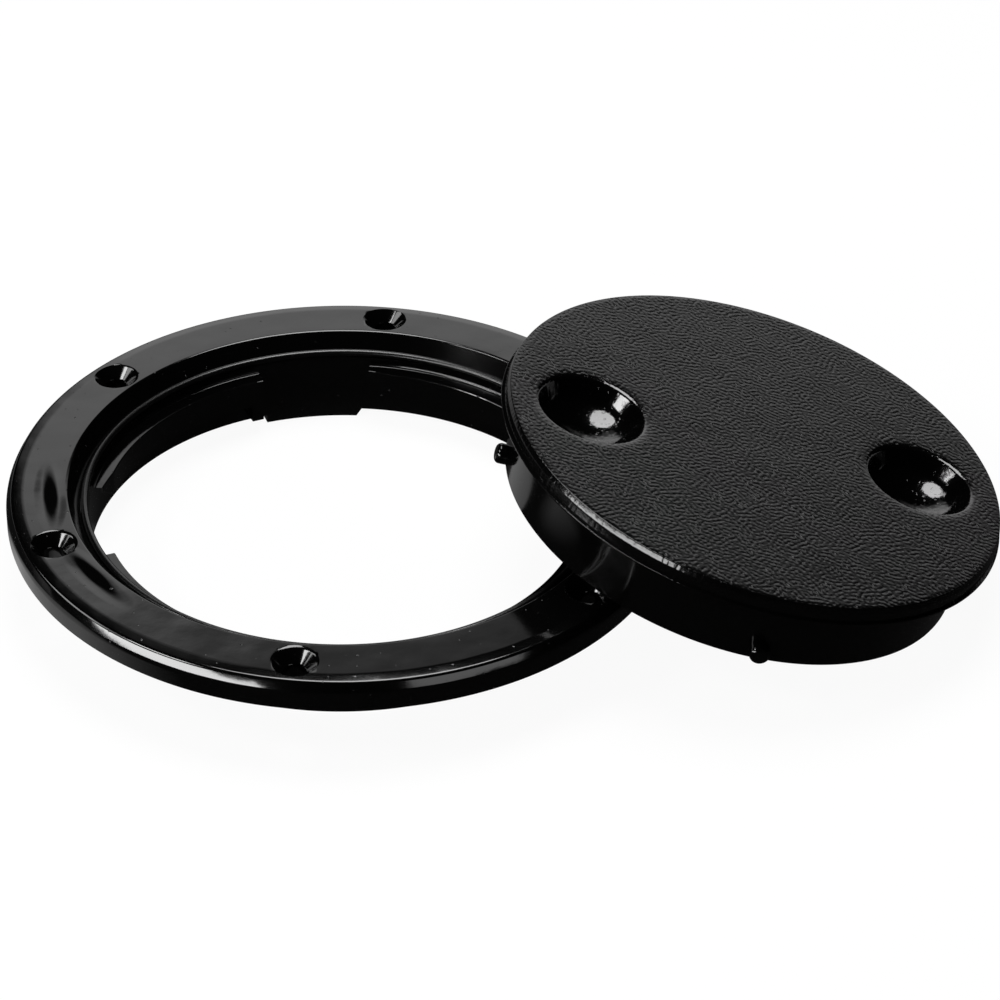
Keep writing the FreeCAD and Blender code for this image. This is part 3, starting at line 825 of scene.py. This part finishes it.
def grained_plastic(tones, s):
    """Black plastic with a winding leather grain on its top, polished in the dimples."""
    material = bpy.data.materials.new("grained_plastic")
    board = Finish(material)
    held = lid_pose(s).inverted()
    where = board.node("ShaderNodeMapping", {"vector_type": "POINT"}, {
        "Vector": board.node("ShaderNodeTexCoord", output="Object"),
        "Location": held.to_translation(), "Rotation": held.to_euler("XYZ")})
    x, y, z = board.parts(where)
    side = abs(x) - s.dimple_at
    from_dimple = (side * side + y * y) ** 0.5
    from_axis = (x * x + y * y) ** 0.5
    on_top = board.ramp(z / s.skirt_depth + 1.0, (0.74, 0.0), (0.80, 1.0))
    clear = board.ramp(from_dimple / (2 * s.dimple), (0.47, 0.0), (0.60, 1.0))
    inner = board.ramp(from_axis / s.rim, (0.955, 1.0), (0.980, 0.3))
    grained = on_top * clear * inner

    ridges = board.node("ShaderNodeTexGabor", {"gabor_type": "2D"}, {
        "Vector": where, "Scale": 0.42 / tones.grain, "Frequency": 2.4, "Anisotropy": 0.0})
    ridges = board.ramp(ridges, (0.25, 0.0), (0.50, 0.7), (0.75, 1.0))
    fine = board.noise(where, 2.6 / tones.grain, 1.0, 0.5)
    slow = board.noise(where, *LID_WAVES)
    specks = board.ramp(board.noise(where, *LID_SPECKS), (0.66, 0.0), (0.74, 1.0))
    weight = grained * 0.9 + (1.0 - clear) * 0.25
    skin = board.bump((ridges + fine * 0.3) * weight * tones.grain_depth
                      + slow * tones.lid_wave + specks * (1.0 - clear) * tones.speck)
    rough = tones.ring_rough + (tones.lid_rough - tones.ring_rough) * grained
    plastic(board, {
        "Base Color": (*tones.lid_colour, 1.0), "Roughness": rough,
        "Specular IOR Level": tones.lid_shine, "Coat Weight": (1.0 - clear) * tones.coat,
        "Coat Roughness": tones.coat_rough, "Normal": skin})
    return material


def rubber(tones):
    """Smooth black rubber."""
    material = bpy.data.materials.new("rubber")
    board = Finish(material)
    where = board.node("ShaderNodeTexCoord", output="Object")
    skin = board.bump(board.noise(where, *SEAL_SKIN) * tones.seal_skin)
    rough = tones.seal_rough + board.noise(where, *SEAL_HAZE) * tones.seal_haze
    plastic(board, {"Base Color": (*tones.seal_colour, 1.0), "Roughness": rough,
                    "Normal": skin})
    return material


# Stage

def glow(board, level):
    """Plain white light of a level from 0 to 1."""
    dark = board.node("ShaderNodeEmission", None, {"Strength": 0.0})
    full = board.node("ShaderNodeEmission", None, {"Strength": 1.0})
    return board.node("ShaderNodeMixShader", None, {0: level, 1: dark, 2: full})


def floor_finish(studio):
    """Floor that is white to the camera; to reflections it glows by place, dim in front and
    brighter behind and beside the plate, which paints the reflections in the plastic.
    """
    material = bpy.data.materials.new("pale_floor")
    board = Finish(material)
    camera, glossy, through = board.rays()
    x, y, _ = board.parts(board.node("ShaderNodeTexCoord", output="Object"))
    # Each ramp runs over one metre, with the ring's axis at its middle
    # Painted reflection: these ramps set how brightly the floor glows in reflections only, not
    # how it is lit
    behind = board.ramp(y + 0.5, (0.545, studio.dim), (0.62, 0.25), (0.80, 0.4), ease="LINEAR")
    beside = board.ramp(0.5 - x, (0.53, 0.0), (0.56, 0.6), ease="LINEAR")
    near = board.ramp(y + 0.5, (0.42, 0.0), (0.45, 1.0), (0.49, 1.0), (0.51, 0.0), ease="LINEAR")
    level = behind.most(beside * near)
    matt = board.node("ShaderNodeBsdfDiffuse", None, {"Color": (*studio.floor, 1.0)})
    seen = (camera * studio.floor_glow).most(glossy).most(through)
    shader = board.node("ShaderNodeMixShader", None, {
        0: seen, 1: matt, 2: glow(board, level.most(camera))})
    board.node("ShaderNodeOutputMaterial", None, {"Surface": shader})
    return material


def room(studio):
    """White to the camera; reflections see a lit backdrop low down behind the plate."""
    world = bpy.data.worlds.new("studio")
    board = Finish(world)
    camera, glossy, through = board.rays()
    x, y, z = board.parts(board.node("ShaderNodeTexCoord", output="Generated"))
    # How far right of straight behind a ray goes; the backdrop's upper edge falls to the right
    across = x / y.most(0.01)
    low = board.ramp(z + across * 0.35, (0.13, 0.0), (0.25, 1.0), (0.54, 0.92),
                     (0.60, 0.36), (0.66, 0.26), (0.70, 0.0), ease="LINEAR")
    wide = board.ramp(across * 0.5 + 0.5, (0.32, 0.0), (0.40, 1.0), (0.62, 0.9), (0.88, 0.0),
                      ease="LINEAR")
    behind = board.ramp(y, (0.05, 0.0), (0.15, 1.0))
    ambient, dark, white, lit = (
        board.node("ShaderNodeBackground", None, {"Strength": strength})
        for strength in (studio.sky, 0.0, 1.0, studio.backdrop))
    backdrop = board.node("ShaderNodeMixShader", None, {
        0: low * wide * behind, 1: dark, 2: lit})
    seen = board.node("ShaderNodeMixShader", None, {0: camera, 1: backdrop, 2: white})
    direct = camera.most(glossy).most(through)
    shader = board.node("ShaderNodeMixShader", None, {0: direct, 1: ambient, 2: seen})
    board.node("ShaderNodeOutputWorld", None, {"Surface": shader})
    return world


def lamp(name, where, size, brightness, shape="RECTANGLE"):
    """A soft lamp that shines on the plate; its sides in metres."""
    data = bpy.data.lights.new(name, "AREA")
    data.shape = shape
    data.size, data.size_y = size
    area = size[0] * size[1] * (pi / 4 if shape == "ELLIPSE" else 1.0)
    data.energy = WATTS * area * brightness
    thing = bpy.data.objects.new(name, data)
    thing.location = where
    thing.rotation_euler = (AIM - Vector(where)).to_track_quat("-Z", "Y").to_euler()
    thing.visible_camera = False
    bpy.context.scene.collection.objects.link(thing)
    return thing


def toward(azimuth, elevation, distance):
    """A place seen from the plate, by degrees right of +Y and degrees up."""
    a, e = radians(azimuth), radians(elevation)
    return (AIM.x + distance * sin(a) * cos(e), distance * cos(a) * cos(e), distance * sin(e))


def light_only(lamps, name, title):
    """Makes lamps light one piece only."""
    lit = bpy.data.collections.new(title)
    lit.objects.link(bpy.data.objects[name])
    for thing in lamps:
        thing.light_linking.receiver_collection = lit


def add_lamps(studio):
    """Lamps round the plate, and a low card inside the ring that faces up."""
    lamp("overhead lamp", (0.026, 0.148, 0.66), (0.42, 0.42), studio.overhead, "ELLIPSE")
    lamp("left lamp", toward(-128, 12.5, 1.2), (1.25, 0.19), studio.left)
    lamp("high left lamp", toward(-112, 43, 1.1), (0.4, 0.17), studio.left)
    side = lamp("side lamp", toward(-80, 36, 1.2), (0.55, 0.3), studio.side)
    right = lamp("right lamp", toward(140, 21, 1.3), (0.85, 0.34), studio.right)
    card = lamp("card", (-0.017, 0.034, -0.013), (0.038, 0.038), studio.card, "ELLIPSE")
    card.rotation_euler = (pi, 0.0, 0.0)
    light_only([card], "twist_lid", "lit by the card")
    light_only([side, right], "mounting_ring", "lit from both sides")


def add_camera(studio):
    """The camera, which looks along +Y and down."""
    data = bpy.data.cameras.new("camera")
    data.sensor_width = 36.0
    data.lens = studio.lens
    data.clip_start = 0.01
    eye = bpy.data.objects.new("camera", data)
    right = Vector((1, 0, 0))
    ahead = Vector((0, cos(studio.pitch), -sin(studio.pitch)))
    down = ahead.cross(right)
    across = cos(studio.roll) * right + sin(studio.roll) * down
    under = cos(studio.roll) * down - sin(studio.roll) * right
    pose = Matrix((across, -under, -ahead)).transposed().to_4x4()
    pose.translation = studio.eye
    eye.matrix_world = pose
    bpy.context.scene.collection.objects.link(eye)
    return eye


class PLATE_OT_stage(bpy.types.Operator):
    """Sets the floor, the lamps, the world and the camera"""
    bl_idname = "plate.stage"
    bl_label = "Stage"

    def execute(self, context):
        studio = context.scene.plate_studio
        skin = bmesh.new()
        bmesh.ops.create_grid(skin, x_segments=1, y_segments=1, size=6.0,
                              matrix=Matrix.Translation((0, 0, studio.floor_level)))
        floor = piece("floor", skin)
        floor.data.materials.append(floor_finish(studio))
        context.scene.world = room(studio)
        add_lamps(studio)
        context.scene.camera = add_camera(studio)
        context.scene.view_settings.view_transform = "Standard"
        return {"FINISHED"}


class PLATE_PT_panel(bpy.types.Panel):
    """Lists the plate's pieces and their sizes"""
    bl_idname = "PLATE_PT_panel"
    bl_label = "Deck plate"
    bl_space_type = "VIEW_3D"
    bl_region_type = "UI"
    bl_category = "Deck plate"

    def draw(self, context):
        column = self.layout.column()
        for step in STEPS:
            column.operator(step.bl_idname)
        for name, _ in GROUPS:
            group = getattr(context.scene, name)
            for key in group.bl_rna.properties.keys():
                if key not in ("rna_type", "name"):
                    column.prop(group, key)


STEPS = (PLATE_OT_ring, PLATE_OT_seal, PLATE_OT_lid, PLATE_OT_stage)
GROUPS = (("plate_ring", RingSizes), ("plate_lid", LidSizes),
          ("plate_finish", Finishes), ("plate_studio", Studio))


def register():
    for name, group in GROUPS:
        bpy.utils.register_class(group)
        setattr(bpy.types.Scene, name, PointerProperty(type=group))
    for step in (*STEPS, PLATE_PT_panel):
        bpy.utils.register_class(step)


def unregister():
    for step in reversed((*STEPS, PLATE_PT_panel)):
        bpy.utils.unregister_class(step)
    for name, group in reversed(GROUPS):
        delattr(bpy.types.Scene, name)
        bpy.utils.unregister_class(group)


def main():
    register()
    bpy.ops.plate.ring()
    bpy.ops.plate.seal()
    bpy.ops.plate.lid()
    bpy.ops.plate.stage()


if __name__ == "__main__":
    main()
